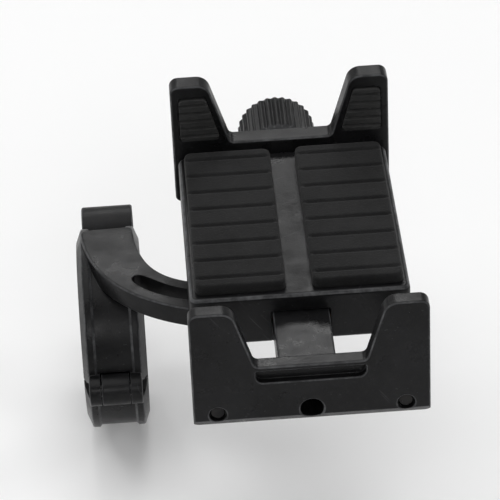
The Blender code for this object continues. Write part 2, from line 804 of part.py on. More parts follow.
make_arm()
make_lower_clamp()
make_liner("liner_upper", "below")
make_liner("liner_lower", "above")
make_clamp_hardware()
make_swivel()
make_base_body()
make_seat_pads()
make_near_jaw()
make_far_jaw()
make_lead_screw()
make_knob()
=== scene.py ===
"""The looks of the four-claw bicycle phone mount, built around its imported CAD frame.

The scene is in metres, while outlines, profiles and the sizes of shapes are in millimetres. The
origin is the centre of the handlebar bore, +X runs along the bar, +Y points away from the rider
and +Z up. Pieces of the tray are drawn in the tray's own frame, whose origin is on the swivel axis
at the height of the phone's back, and tray() turns its places into places in the scene.
"""

import json
import math

import bmesh
import bpy
from mathutils import Euler, Matrix, Vector


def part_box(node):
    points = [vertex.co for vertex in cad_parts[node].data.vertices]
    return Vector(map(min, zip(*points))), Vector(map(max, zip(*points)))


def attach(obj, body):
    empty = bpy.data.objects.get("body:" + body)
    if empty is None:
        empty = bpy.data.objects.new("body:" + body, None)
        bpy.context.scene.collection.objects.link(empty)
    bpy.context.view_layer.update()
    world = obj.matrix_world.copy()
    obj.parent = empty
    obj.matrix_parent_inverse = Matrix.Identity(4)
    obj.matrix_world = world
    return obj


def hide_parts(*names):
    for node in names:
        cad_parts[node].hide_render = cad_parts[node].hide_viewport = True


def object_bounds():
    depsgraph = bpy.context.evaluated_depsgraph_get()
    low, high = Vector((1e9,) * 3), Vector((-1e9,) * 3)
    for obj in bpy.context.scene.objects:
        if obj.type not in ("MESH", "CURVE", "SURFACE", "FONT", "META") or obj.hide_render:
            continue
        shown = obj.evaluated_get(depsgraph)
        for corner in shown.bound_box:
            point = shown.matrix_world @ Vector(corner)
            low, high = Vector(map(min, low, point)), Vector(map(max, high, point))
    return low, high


MM = 0.001

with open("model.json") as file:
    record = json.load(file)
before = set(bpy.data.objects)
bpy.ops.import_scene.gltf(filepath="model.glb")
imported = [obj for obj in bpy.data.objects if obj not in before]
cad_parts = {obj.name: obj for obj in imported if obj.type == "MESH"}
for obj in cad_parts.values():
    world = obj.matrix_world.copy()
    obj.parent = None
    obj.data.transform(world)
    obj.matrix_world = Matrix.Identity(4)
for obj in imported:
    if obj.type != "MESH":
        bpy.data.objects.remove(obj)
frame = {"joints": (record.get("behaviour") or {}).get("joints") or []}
cad_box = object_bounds()
scene = bpy.context.scene

JOINTS = {joint["name"]: joint for joint in frame["joints"]}
SWIVEL = JOINTS["tray_swivel"]["pos_m"]
SEAT = Vector((SWIVEL[0], SWIVEL[1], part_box("seat_pad_left")[1].z))
HINGE = Vector(JOINTS["clamp_hinge"]["pos_m"])
SCREW = Vector(JOINTS["knob_turn"]["pos_m"])


def local_box(node):
    """A node's lowest and highest corners in the tray's frame, in millimetres."""
    low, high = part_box(node)
    return (low - SEAT) / MM, (high - SEAT) / MM


# ---------------------------------------------------------------------------------------------
# Meshes: every outline and profile below is in millimetres
# ---------------------------------------------------------------------------------------------

EDGE_STEPS = 4  # strips across every rounded edge
# Strips that wear like an edge take the lighter edge material, which also paints a highlight
WIDEST_ROUND = 0.7  # the widest slanting strip of a turned profile that wears like an edge
LEAST_SLANT = 0.35  # the least rise for each run, or run for each rise, of a slanting strip
THREAD_DEPTH = 0.61  # of the pitch
ROWS_PER_TURN = 8  # rows of points along each turn of a thread

# Turns that stand a piece made along Z on another axis, or a plate drawn in X and Y up across one
ALONG_X = (0, 90, 0)
ALONG_Y = (-90, 0, 0)
ALONG_Z = (0, 0, 0)
ACROSS_Y = (90, 0, 0)
ACROSS_X = (90, 0, 90)


def polar(radius, angle):
    return (radius * math.cos(angle), radius * math.sin(angle))


def fillet(corners, segments=6):
    """An outline from (x, y, radius) corners, each rounded by an arc that meets both its sides."""
    points = []
    for i, (x, y, radius) in enumerate(corners):
        if not radius:
            points.append((x, y))
            continue
        before = corners[i - 1]
        after = corners[(i + 1) % len(corners)]
        angle_in = math.atan2(before[1] - y, before[0] - x)
        angle_out = math.atan2(after[1] - y, after[0] - x)
        turn = (angle_out - angle_in + math.pi) % math.tau - math.pi
        middle = angle_in + turn / 2
        out, up = polar(radius / math.sin(abs(turn) / 2), middle)
        centre = (x + out, y + up)
        sweep = math.copysign(math.pi - abs(turn), turn)
        for step in range(segments + 1):
            out, up = polar(radius, middle + math.pi + sweep * (0.5 - step / segments))
            points.append((centre[0] + out, centre[1] + up))
    return points


def area(outline):
    """The area inside an outline, positive if it runs anticlockwise."""
    return sum(a[0] * b[1] - b[0] * a[1] for a, b in zip(outline, outline[1:] + outline[:1])) / 2


def inset(outline, distance):
    """The outline moved inwards everywhere by a distance. It must run anticlockwise."""
    sharpest = 0.3  # a sharper corner than this moves less than its sides ask for
    moved = []
    for i, (x, y) in enumerate(outline):
        before = Vector(outline[i - 1])
        after = Vector(outline[(i + 1) % len(outline)])
        here = Vector((x, y))
        one = (here - before).normalized()
        two = (after - here).normalized()
        normal = Vector((-one.y - two.y, one.x + two.x))
        if normal.length < 1e-6:
            normal = Vector((-one.y, one.x))
        normal.normalize()
        stretch = max(normal.dot(Vector((-one.y, one.x))), sharpest)
        moved.append((x + normal.x * distance / stretch, y + normal.y * distance / stretch))
    return moved


def skin(loops, worn_and_lit, ends=True):
    """A surface through a list of closed loops of points, one after another.

    Its two ends are filled, or else the last loop is joined to the first. The second argument lists
    the strips between loops that take the second material, the one for rounded edges, which is
    lighter both for wear and as a painted highlight.
    """
    bm = bmesh.new()
    rings = [[bm.verts.new(Vector(p) * MM) for p in loop] for loop in loops]
    pairs = list(zip(rings, rings[1:]))
    if not ends:
        pairs.append((rings[-1], rings[0]))
    for strip, (a, b) in enumerate(pairs):
        count = len(a)
        for i in range(count):
            j = (i + 1) % count
            face = bm.faces.new((a[i], a[j], b[j], b[i]))
            face.material_index = 1 if strip in worn_and_lit else 0
    if ends:
        bm.faces.new(list(reversed(rings[0])))
        bm.faces.new(rings[-1])
    return bm


def clean(bm, near, short):
    """Joins points nearer than one distance and removes edges shorter than another, in metres."""
    bmesh.ops.remove_doubles(bm, verts=bm.verts, dist=near)
    bmesh.ops.dissolve_degenerate(bm, edges=bm.edges, dist=short)


def piece(name, bm, at, turn=ALONG_Z):
    """An object from a bmesh, turned and moved. at is in metres and turn in degrees."""
    clean(bm, 2e-7, 1e-7)
    bmesh.ops.recalc_face_normals(bm, faces=bm.faces)
    place = Matrix.Translation(at) @ Euler([math.radians(a) for a in turn]).to_matrix().to_4x4()
    bm.transform(place)
    mesh = bpy.data.meshes.new(name)
    mesh.materials.append(BLACK)
    mesh.materials.append(BLACK_EDGE)
    bm.to_mesh(mesh)
    bm.free()
    obj = bpy.data.objects.new(name, mesh)
    scene.collection.objects.link(obj)
    return obj


def slab(name, outline, low, high, edge, at=(0, 0, 0), turn=ALONG_Z):
    """A plate from an outline, between two heights, its edges rounded all the way round."""
    outline = list(outline) if area(outline) > 0 else list(reversed(outline))
    if not edge:
        loops = [[(x, y, height) for x, y in outline] for height in (low, high)]
        return piece(name, skin(loops, ()), at, turn)
    quarter = [math.pi / 2 * i / EDGE_STEPS for i in range(EDGE_STEPS + 1)]
    rims = [(inset(outline, edge * (1 - math.sin(a))), edge * (1 - math.cos(a))) for a in quarter]
    loops = [[(x, y, low + rise) for x, y in rim] for rim, rise in rims]
    loops += [[(x, y, high - rise) for x, y in rim] for rim, rise in reversed(rims)]
    # The middle strips of each rounded edge take the lighter edge material: wear and a painted
    # highlight
    middle = range(1, EDGE_STEPS - 1)
    worn_and_lit = {*middle, *(EDGE_STEPS + 1 + strip for strip in middle)}
    return piece(name, skin(loops, worn_and_lit), at, turn)


def block(name, low, high, edge=0.0, corner=0.0, at=(0, 0, 0)):
    """A box between two corners, with rounded edges and rounded upright corners."""
    corners = [(low[0], low[1]), (high[0], low[1]), (high[0], high[1]), (low[0], high[1])]
    outline = fillet([(x, y, corner) for x, y in corners], 5)
    return slab(name, outline, low[2], high[2], edge, at)


def lathe(
    name, profile, steps, at=(0, 0, 0), turn=ALONG_Z, loop=False, shape=None, widest=WIDEST_ROUND
):
    """A turned piece from a (radius, height) profile. shape changes the radius with the angle.

    Slanting strips of the profile up to the widest are rounds and chamfers. They take the lighter
    edge material, which is partly wear and partly a painted highlight.
    """
    rings = []
    for radius, height in profile:
        ring = []
        for step in range(steps):
            angle = math.tau * step / steps
            r = shape(radius, height, angle) if shape else radius
            ring.append((*polar(r, angle), height))
        rings.append(ring)
    worn_and_lit = set()
    for strip, (a, b) in enumerate(zip(profile, profile[1:] + profile[:1])):
        rise, run = abs(b[1] - a[1]), abs(b[0] - a[0])
        if math.hypot(rise, run) < widest and min(rise, run) > LEAST_SLANT * max(rise, run):
            worn_and_lit.add(strip)
    return piece(name, skin(rings, worn_and_lit, ends=not loop), at, turn)


def corner_arc(radius, height, size, start):
    """Points of a rounded profile corner about (radius, height), through a quarter turn."""
    angles = [math.radians(start + 90 * i / EDGE_STEPS) for i in range(EDGE_STEPS + 1)]
    return [(radius + size * math.cos(a), height + size * math.sin(a)) for a in angles]


def bar(name, radius, low, high, edge, at, turn=ALONG_Z, steps=48):
    """A round bar whose two rims are rounded."""
    profile = [
        (0.0, high),
        *reversed(corner_arc(radius - edge, high - edge, edge, 0)),
        *reversed(corner_arc(radius - edge, low + edge, edge, -90)),
        (0.0, low),
    ]
    return lathe(name, profile, steps, at, turn)


def washer(name, radii, heights, rounds, segments, at, turn, steps):
    """A flat ring with rounded edges. radii and rounds are (inner, outer), heights (low, high)."""
    (inner, outer), (low, high), (inside, outside) = radii, heights, rounds
    corners = [
        (inner, high, inside),
        (outer, high, outside),
        (outer, low, outside),
        (inner, low, inside),
    ]
    return lathe(name, fillet(corners, segments), steps, at, turn, loop=True)


def hex_bar(name, across, low, high, at, turn=ALONG_Z):
    """A six-sided bar. across is the width over its flats."""
    corners = [polar(across / math.sqrt(3), math.pi * i / 3) for i in range(6)]
    return slab(name, corners, low, high, 0.0, at, turn)


def flared(name, radius, low, high, flare, at, turn=ALONG_Z, ends="both", steps=48):
    """A cutter for a round hole whose mouths at low and high are chamfered by the flare.

    ends says which mouths are. The cutter runs on past both, and its long slants count as worn
    edges, which take the lighter edge material with its painted highlight.
    """
    over = 2.0
    profile = [(0.0, high + over)]
    if ends in ("both", "high"):
        profile += [(radius + flare + over, high + over), (radius, high - flare)]
    else:
        profile += [(radius, high + over)]
    if ends in ("both", "low"):
        profile += [(radius, low + flare), (radius + flare + over, low - over)]
    else:
        profile += [(radius, low - over)]
    profile.append((0.0, low - over))
    return lathe(name, profile, steps, at, turn, widest=2 * (flare + over))


def cone_mouth(radius, low, at):
    """A cutter for the small chamfer at the mouth of a socket that opens downwards."""
    top, bottom = low + 0.25, low - 1.15
    profile = [(0.0, top), (radius - 0.4, top), (radius + 1.0, bottom), (0.0, bottom)]
    return lathe("mouth", profile, 48, at)


def thread_shape(pitch, low, high):
    """A lathe shape with a helical thread between two heights, fading out at both ends."""

    def shape(radius, height, angle):
        if radius == 0.0 or not low < height < high:
            return radius
        phase = (height / pitch - angle / math.tau) % 1.0
        # Flat crests and roots, with steep flanks between them
        sunk = min(max(1.35 * abs(2 * phase - 1) - 0.2, 0.0), 1.0)
        fade = min((height - low) / pitch, (high - height) / pitch, 1.0)
        return radius - THREAD_DEPTH * pitch * sunk * fade

    return shape


def rows(radius, low, high, pitch):
    """Closely spaced profile points along a bar, for a thread to be cut into."""
    count = max(int((high - low) / (pitch / ROWS_PER_TURN)), 1)
    return [(radius, low + (high - low) * i / count) for i in range(count + 1)]


def knurl(radius, depth, count, low, high):
    """A lathe shape with straight V grooves between two heights, round the rim only."""
    inner = radius - 1.6

    def shape(r, height, angle):
        if r < inner or not low <= height <= high:
            return r
        wave = abs(((angle / math.tau * count) % 1.0) * 2 - 1)
        return min(r, radius - depth * wave)

    return shape


def evaluate(obj):
    """Applies an object's modifiers to its mesh."""
    depsgraph = bpy.context.evaluated_depsgraph_get()
    mesh = bpy.data.meshes.new_from_object(obj.evaluated_get(depsgraph))
    old = obj.data
    obj.modifiers.clear()
    obj.data = mesh
    bpy.data.meshes.remove(old)


def boolean(obj, operation, tools):
    """Cuts an object with others, or joins them to it, and removes the others."""
    for tool in tools:
        modifier = obj.modifiers.new(tool.name, "BOOLEAN")
        modifier.operation = operation
        modifier.solver = "EXACT"
        modifier.object = tool
    evaluate(obj)
    for tool in tools:
        mesh = tool.data
        bpy.data.objects.remove(tool)
        bpy.data.meshes.remove(mesh)
    bm = bmesh.new()
    bm.from_mesh(obj.data)
    clean(bm, 1e-6, 1e-6)
    bm.to_mesh(obj.data)
    bm.free()
    return obj


def carve(obj, *tools):
    return boolean(obj, "DIFFERENCE", tools)


def weld(obj, *tools):
    return boolean(obj, "UNION", tools)


def finish(obj, material, body, *nodes, slot, angle=32):
    """Gives a piece its material and body and hides the CAD nodes it stands for; slot is unused.

    Its shading is smooth, apart from edges sharper than the angle in degrees. Only pieces in the
    black finish keep the second material on their rounded edges, which is lighter both for wear and
    as a painted highlight.
    """
    mesh = obj.data
    mesh.shade_smooth()
    mesh.set_sharp_from_angle(angle=math.radians(angle))
    modifier = obj.modifiers.new("shading", "WEIGHTED_NORMAL")
    modifier.keep_sharp = True
    modifier.weight = 60
    mesh.materials[0] = material
    if material != BLACK:
        mesh.materials.pop(index=1)
    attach(obj, body)
    if nodes:
        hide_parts(*nodes)


# ---------------------------------------------------------------------------------------------
# Materials
# ---------------------------------------------------------------------------------------------


class Shader:
    """A material under construction: its node tree and short ways to add nodes to it."""

    def __init__(self, name):
        self.material = bpy.data.materials.new(name)
        self.material.use_nodes = True
        self.tree = self.material.node_tree
        self.bsdf = self.tree.nodes["Principled BSDF"]

    def node(self, kind, inputs=None, **settings):
        node = self.tree.nodes.new(kind)
        for key, value in settings.items():
            setattr(node, key, value)
        for key, value in (inputs or {}).items():
            self.set(node.inputs[key], value)
        return node

    def set(self, socket, value):
        if isinstance(value, bpy.types.NodeSocket):
            self.tree.links.new(value, socket)
        else:
            socket.default_value = value

    def surface(self, **inputs):
        """Sets the shader's own sockets. An underscore stands for each space in their names."""
        for key, value in inputs.items():
            self.set(self.bsdf.inputs[key.replace("_", " ")], value)

    def place(self, stretch=(1, 1, 1), turn=(0, 0, 0)):
        """The place on the piece, turned and then squeezed along each axis by the stretch."""
        coordinate = self.node("ShaderNodeTexCoord").outputs["Object"]
        if any(turn):
            turned = self.node("ShaderNodeMapping", {"Vector": coordinate, "Rotation": turn})
            coordinate = turned.outputs["Vector"]
        mapping = self.node("ShaderNodeMapping", {"Vector": coordinate, "Scale": stretch})
        return mapping.outputs["Vector"]

    def noise(self, scale, detail, roughness=0.6, stretch=(1, 1, 1), turn=(0, 0, 0)):
        place = self.place(stretch, turn)
        inputs = {"Vector": place, "Scale": scale, "Detail": detail, "Roughness": roughness}
        return self.node("ShaderNodeTexNoise", inputs).outputs["Fac"]

    def cells(self, scale):
        inputs = {"Vector": self.place(), "Scale": scale}
        return self.node("ShaderNodeTexVoronoi", inputs).outputs["Distance"]

    def span(self, value, low, high, first=0.0, last=1.0):
        """The value moved from the range between low and high to that between first and last."""
        inputs = {"Value": value, "From Min": low, "From Max": high}
        inputs.update({"To Min": first, "To Max": last})
        return self.node("ShaderNodeMapRange", inputs).outputs["Result"]

    def math(self, operation, a, b):
        node = self.node("ShaderNodeMath", operation=operation)
        self.set(node.inputs[0], a)
        self.set(node.inputs[1], b)
        return node.outputs[0]

    def plus(self, a, b):
        return self.math("ADD", a, b)

    def times(self, a, b):
        return self.math("MULTIPLY", a, b)

    def blend(self, amount, first, second):
        node = self.node("ShaderNodeMix", data_type="RGBA")
        self.set(node.inputs["Factor"], amount)
        sockets = [s for s in node.inputs if s.type == "RGBA"]
        self.set(sockets[0], (*first, 1.0) if isinstance(first, tuple) else first)
        self.set(sockets[1], (*second, 1.0) if isinstance(second, tuple) else second)
        return next(s for s in node.outputs if s.type == "RGBA")

    def bump(self, height, strength, depth, normal=None):
        inputs = {"Height": height, "Strength": strength, "Distance": depth}
        if normal is not None:
            inputs["Normal"] = normal
        return self.node("ShaderNodeBump", inputs).outputs["Normal"]

    def round_edges(self, radius):
        return self.node("ShaderNodeBevel", {"Radius": radius}, samples=6).outputs["Normal"]

    def edges(self, radius):
        """1 on sharp edges and 0 on flat and gently curved faces."""
        smooth = self.node("ShaderNodeNewGeometry").outputs["Normal"]
        node = self.node("ShaderNodeVectorMath", operation="DOT_PRODUCT")
        self.set(node.inputs[0], self.round_edges(radius))
        self.set(node.inputs[1], smooth)
        return self.span(node.outputs["Value"], 0.995, 0.80)


def anodised(name, edge_wear_and_highlight=0.0):
    """Bead-blasted aluminium, dyed black, with fine grain, hairline scratches and greyer edges.

    The second argument is how far the dye has gone from the face itself, for the rounded edges.
    This lightening is also a painted highlight where those edges catch light.
    """
    # The lighter grey is bare aluminium in the scratches, and also a painted highlight on the edges
    dye = (0.0040, 0.0040, 0.0043)
    bare_metal_and_highlight = (0.125, 0.127, 0.132)

    def faded(times):
        return tuple(c * times for c in dye)

    s = Shader(name)
    cloud = s.noise(70.0, 6.0, 0.66)
    grain = s.noise(2600.0, 2.0, 0.5)
    pits = s.cells(3300.0)
    tone = s.blend(s.span(cloud, 0.38, 0.66), dye, faded(2.3))
    mottle = s.span(s.noise(900.0, 3.0, 0.6), 0.52, 0.74)
    tone = s.blend(s.times(mottle, 0.45), tone, faded(3.4))
    speck = s.span(grain, 0.60, 0.80)
    tone = s.blend(s.times(speck, 0.40), tone, faded(4.5))
    scratch = s.math(
        "MAXIMUM",
        s.span(s.noise(190.0, 1.0, 0.4, (16.0, 0.3, 0.5), (0.3, 0.5, 0.6)), 0.74, 0.78),
        s.span(s.noise(170.0, 1.0, 0.4, (0.35, 15.0, 11.0), (0.4, 0.2, -0.45)), 0.74, 0.78),
    )
    tone = s.blend(s.times(scratch, 0.16), tone, bare_metal_and_highlight)
    # Patchy lightening of the edges: partly worn dye, partly a painted highlight for the light
    # edges catch
    patchy_wear_and_highlight = s.span(s.noise(330.0, 5.0, 0.72), 0.40, 0.64)
    wear_and_highlight = s.times(s.edges(0.00022), s.plus(s.times(patchy_wear_and_highlight, 0.65), 0.15))
    # The rounded-edge copy is lightened all over: rubbed dye and a painted highlight together
    if edge_wear_and_highlight:
        face = s.plus(s.times(patchy_wear_and_highlight, 0.75 * edge_wear_and_highlight), 0.25 * edge_wear_and_highlight)
        wear_and_highlight = s.math("MAXIMUM", wear_and_highlight, face)
    tone = s.blend(wear_and_highlight, tone, bare_metal_and_highlight)
    smudge = s.times(s.noise(45.0, 3.0, 0.55), 0.5)
    smear = s.times(s.noise(210.0, 5.0, 0.65), 0.5)
    gloss = s.span(s.plus(smudge, smear), 0.38, 0.62, 0.24, 0.46)
    height = s.plus(s.times(grain, 0.6), s.times(pits, 0.5))
    height = s.math("SUBTRACT", height, s.times(scratch, 0.3))
    normal = s.bump(height, 0.38, 0.00007, s.round_edges(0.0003))
    s.surface(Base_Color=tone, Roughness=gloss, Metallic=0.0, Normal=normal)
    s.surface(Specular_IOR_Level=0.16)
    return s.material


def rubber():
    """Matte moulded rubber with a fine leathery surface and a faint grey bloom."""
    s = Shader("black_rubber")
    bloom = s.span(s.noise(240.0, 6.0, 0.65), 0.38, 0.72)
    tone = s.blend(bloom, (0.0045, 0.0045, 0.0045), (0.0110, 0.0110, 0.0106))
    gloss = s.span(s.noise(520.0, 3.0), 0.3, 0.7, 0.62, 0.82)
    height = s.plus(s.noise(1500.0, 3.0), s.times(s.cells(2100.0), 0.6))
    s.surface(Base_Color=tone, Roughness=gloss, Normal=s.bump(height, 0.4, 0.0001))
    return s.material


def foam():
    """Closed-cell foam rubber: open pinholes on the skin, no shine."""
    s = Shader("black_foam")
    cells = s.cells(2300.0)
    fine = s.noise(3600.0, 3.0, 0.7)
    cloud = s.span(s.noise(130.0, 5.0, 0.6), 0.35, 0.7)
    tone = s.blend(cloud, (0.0050, 0.0050, 0.0052), (0.0105, 0.0105, 0.0108))
    # Darker dots in the open pinholes are painted shade
    pinhole_shade = s.span(cells, 0.26, 0.10)
    tone = s.blend(s.times(pinhole_shade, 0.75), tone, (0.0015, 0.0015, 0.0015))
    gloss = s.span(fine, 0.3, 0.7, 0.82, 0.97)
    height = s.plus(s.span(cells, 0.05, 0.4), s.times(fine, 0.5))
    s.surface(Base_Color=tone, Roughness=gloss, Normal=s.bump(height, 0.55, 0.00016))
    s.surface(Sheen_Weight=0.05, Sheen_Roughness=0.6, Specular_IOR_Level=0.16)
    return s.material


def steel(name, base, tint, low, high, stretch):
    """Bright or blackened steel with fine lathe or grinding lines, and stains in the gloss.

    low and high are the least and the greatest roughness, and stretch sets the way of the lines.
    """
    s = Shader(name)
    lines = s.noise(900.0, 3.0, 0.55, stretch)
    cloud = s.noise(210.0, 5.0, 0.6)
    tone = s.blend(s.span(cloud, 0.32, 0.72), base, tint)
    stains = s.plus(s.times(lines, 0.5), s.times(cloud, 0.5))
    gloss = s.span(stains, 0.35, 0.65, low, high)
    normal = s.bump(lines, 0.35, 0.00003, s.round_edges(0.00015))
    s.surface(Base_Color=tone, Roughness=gloss, Metallic=1.0, Normal=normal)
    return s.material


def nylon():
    """Milky, slightly waxy plastic with turning marks."""
    s = Shader("natural_nylon")
    cloud = s.span(s.noise(300.0, 5.0, 0.6), 0.3, 0.7)
    tone = s.blend(cloud, (0.66, 0.64, 0.58), (0.78, 0.77, 0.72))
    marks = s.noise(1400.0, 2.0)
    s.surface(Base_Color=tone, Roughness=s.span(marks, 0.3, 0.7, 0.38, 0.52))
    s.surface(Normal=s.bump(marks, 0.25, 0.00004, s.round_edges(0.00012)))
    s.surface(Subsurface_Weight=0.15, Subsurface_Scale=0.0006)
    return s.material


RINGED = (0.25, 4.0, 0.25)  # squeezes a texture along Y into rings round a rod that lies on it
BLACK = anodised("black_anodised")
# A lighter copy for rounded edges: partly worn dye, partly a painted highlight where edges catch
# light
BLACK_EDGE = anodised("black_anodised_edge", 0.60)
RUBBER = rubber()
FOAM = foam()
GROUND = steel("ground_steel", (0.52, 0.52, 0.53), (0.60, 0.60, 0.60), 0.16, 0.30, RINGED)
TURNED = steel("turned_steel", (0.44, 0.44, 0.45), (0.56, 0.56, 0.55), 0.22, 0.38, (1.0, 1.0, 3.0))
OXIDE = steel(
    "black_oxide_steel", (0.028, 0.028, 0.030), (0.050, 0.048, 0.046), 0.26, 0.44, (2.0, 2.0, 2.0)
)
ROD_BLACK = steel(
    "black_ground_steel", (0.014, 0.014, 0.015), (0.030, 0.029, 0.028), 0.20, 0.34, RINGED
)
NYLON = nylon()

# ---------------------------------------------------------------------------------------------
# The clamp round the handlebar, and the arm, in millimetres from the middle of the bar
# ---------------------------------------------------------------------------------------------

BOLT_LOW, BOLT_HIGH = (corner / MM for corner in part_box("clamp_bolt"))
BOLT_Y = (BOLT_LOW.y + BOLT_HIGH.y) / 2
NUT_Z = 6.8
EARS_START = 18.4
HALF_RIM = 5.6  # half the width of the clamp ring at its rim
HALF_SHELL = 6.7  # and at its bore
SHELL_INNER = 17.4
SHELL_OUTER = 21.4
SPLIT = 0.6  # from the middle of the bar to either shell
KNUCKLE = 3.3  # radii round the hinge
KNUCKLE_ROOM = 3.6
PIN_BORE = 1.6
HALF_HINGE = 5.58
ARM_TOP = (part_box("arm")[1] / MM).z
ARM_BOTTOM = ARM_TOP - 4.6
BOSS_RADIUS = 11.5
SWIVEL_X, SWIVEL_Y = SEAT.x / MM, SEAT.y / MM
ARM_PATH = ((0.0, 5.0), (1.0, -27.0), (SWIVEL_X, SWIVEL_Y))
SLOT_MIDDLE = 0.55  # as a share of the way along the arm, as is its reach
SLOT_REACH = 0.19
M4_RADIUS = 1.95
M4_BORE = 2.25
M4_PITCH = 0.7
M5_RADIUS = 2.4
M5_PITCH = 0.8
SOCKET = 3.0  # over the flats of the larger bolts' sockets


def at(x, y, z):
    return Vector((x, y, z)) * MM


def ring(name):
    """The whole clamp ring, narrower at its rim, with a shallow groove round the outside."""
    side = [
        (SHELL_INNER, HALF_SHELL, 0.25),
        (SHELL_INNER + 1.2, HALF_SHELL, 0.4),
        (SHELL_OUTER, HALF_RIM, 0.45),
        (SHELL_OUTER, 4.2, 0.12),
        (SHELL_OUTER - 0.5, 3.7, 0.12),
    ]
    profile = fillet(side + [(r, -h, size) for r, h, size in reversed(side)], 4)
    return lathe(name, profile, 176, turn=ALONG_X, loop=True)


def beyond_split(name, side):
    """A cutter for everything on one side of the split, and for the split itself."""
    reach = 60.0
    low, high = (-reach, SPLIT) if side == "below" else (-SPLIT, reach)
    return block(name, (-reach, -reach, low), (reach, reach, high))


def arm_point(t):
    """The arm's centre line, a curve from 0 at the clamp to 1 at the swivel."""
    weights = ((1 - t) ** 2, 2 * t * (1 - t), t * t)
    return Vector([sum(w * p[axis] for w, p in zip(weights, ARM_PATH)) for axis in (0, 1)])


def arm_side(t, offset):
    """The point beside the arm's centre line, an offset to its left as it runs to the swivel."""
    ahead = (arm_point(t + 0.001) - arm_point(t - 0.001)).normalized()
    here = arm_point(t)
    return (here.x - offset * ahead.y, here.y + offset * ahead.x)


def arm_strip(places, half_width):
    """An outline up one side of the centre line and back down the other."""
    left = [arm_side(t, half_width(t)) for t in places]
    right = [arm_side(t, -half_width(t)) for t in reversed(places)]
    return left + right


def arm_half_width(t):
    return HALF_RIM - math.sin(math.pi * t) ** 2


def slot_half_width(t):
    place = (t - SLOT_MIDDLE) / SLOT_REACH
    return max(1.85 * (1 - min(abs(place), 1.0) ** 6) ** 0.5, 0.1)


def make_arm():
    swivel = at(SWIVEL_X, SWIVEL_Y, 0)
    nut = at(0, BOLT_Y, NUT_Z)
    # The first step is a long one, so that the rounded corners at the clamp end fit into it
    places = [0.0] + [0.05 + 0.95 * i / 40 for i in range(41)]
    strip = arm_strip(places, arm_half_width)
    clamp_end = (0, len(strip) - 1)
    outline = fillet([(x, y, 1.4 if i in clamp_end else 0.0) for i, (x, y) in enumerate(strip)])
    arm = slab("arm_shell", outline, ARM_BOTTOM, ARM_TOP, 0.5)
    boss = bar("boss", BOSS_RADIUS, ARM_BOTTOM - 0.05, ARM_TOP + 0.05, 0.5, swivel, steps=128)
    upper = carve(ring("upper"), beyond_split("cut", "below"))
    web = block("web", (-5.55, EARS_START, SPLIT), (5.55, BOLT_Y, NUT_Z))
    ear = bar("ear", 6.3, -HALF_RIM, HALF_RIM, 0.5, nut, ALONG_X, 80)
    knuckles = bar("knuckles", KNUCKLE, -HALF_HINGE, HALF_HINGE, 0.3, HINGE, ALONG_X, 56)
    weld(arm, boss, upper, web, ear, knuckles)
    carve(
        arm,
        bar("room", KNUCKLE_ROOM, -3.2, 3.2, 0.0, HINGE, ALONG_X, 64),
        flared("pin_bore", PIN_BORE, -HALF_HINGE, HALF_HINGE, 0.2, HINGE, ALONG_X),
        block("under", (-10, 18.0, -10), (10, 35, SPLIT)),
        flared("nut_bore", 4.3, -HALF_RIM, HALF_RIM, 0.35, nut, ALONG_X, steps=72),
        bar("bolt_bore", 2.5, -1.0, 11.5, 0.0, at(0, BOLT_Y, 0)),
    )
    start, length = SLOT_MIDDLE - SLOT_REACH, 2 * SLOT_REACH
    slot = arm_strip([start + length * i / 48 for i in range(49)], slot_half_width)
    head_room = ARM_BOTTOM + 0.9
    carve(
        arm,
        slab("slot", slot, ARM_BOTTOM - 3, ARM_TOP + 3, 0.0),
        bar("swivel_bore", 2.8, ARM_BOTTOM - 2, ARM_TOP + 2, 0.0, swivel),
        flared("counterbore", 5.6, ARM_BOTTOM, head_room, 0.3, swivel, ends="low", steps=80),
    )
    finish(arm, BLACK, "arm", "arm", slot="black_anodised")


def make_lower_clamp():
    lower = carve(ring("clamp_lower_shell"), beyond_split("cut", "above"))
    half = 2.9
    carve(
        lower,
        bar("room_left", KNUCKLE_ROOM, -half - 7.0, -half, 0.0, HINGE, ALONG_X, 56),
        bar("room_right", KNUCKLE_ROOM, half, half + 7.0, 0.0, HINGE, ALONG_X, 56),
    )
    # The ear ends just below the shell's own upper face, as two faces in one plane weld badly
    ear_low = (-HALF_RIM, EARS_START, -SPLIT - 6.8)
    ear = block("ear", ear_low, (HALF_RIM, BOLT_Y + HALF_RIM, -SPLIT - 0.02), 0.7, 2.0)
    weld(lower, ear, bar("tongue", KNUCKLE, -half, half, 0.2, HINGE, ALONG_X, 56))
    signs = ((-1, -1), (1, -1), (1, 1), (-1, 1))
    slot = fillet([(2.4 * x, BOLT_Y + 3.2 * y, 2.3) for x, y in signs])
    carve(
        lower,
        bar("pin_bore", PIN_BORE, -8, 8, 0.0, HINGE, ALONG_X),
        slab("bolt_slot", slot, -14, 6, 0.0),
    )
    finish(lower, BLACK, "lower_clamp", "clamp_lower", slot="black_anodised")


def make_liner(name, side, body):
    """Half of the rubber liner, with grooves round the face that grips the bar."""
    inner, outer, half = 15.95, 17.15, 6.6
    half_mouth, half_floor, depth = 0.55, 0.3, 0.4
    grip = []
    for middle in (-4.2, -1.4, 1.4, 4.2):
        grip += [
            (inner, middle - half_mouth),
            (inner + depth, middle - half_floor),
            (inner + depth, middle + half_floor),
            (inner, middle + half_mouth),
        ]
    rim = [(outer, half - 0.1), (outer - 0.1, half), (inner + 0.2, half), (inner, half - 0.2)]
    profile = [*rim, *reversed(grip), *((r, -h) for r, h in reversed(rim))]
    liner = lathe(name + "_ribbed", profile, 144, turn=ALONG_X, loop=True)
    carve(liner, beyond_split("cut", side))
    finish(liner, RUBBER, body, name, slot="rubber", angle=28)


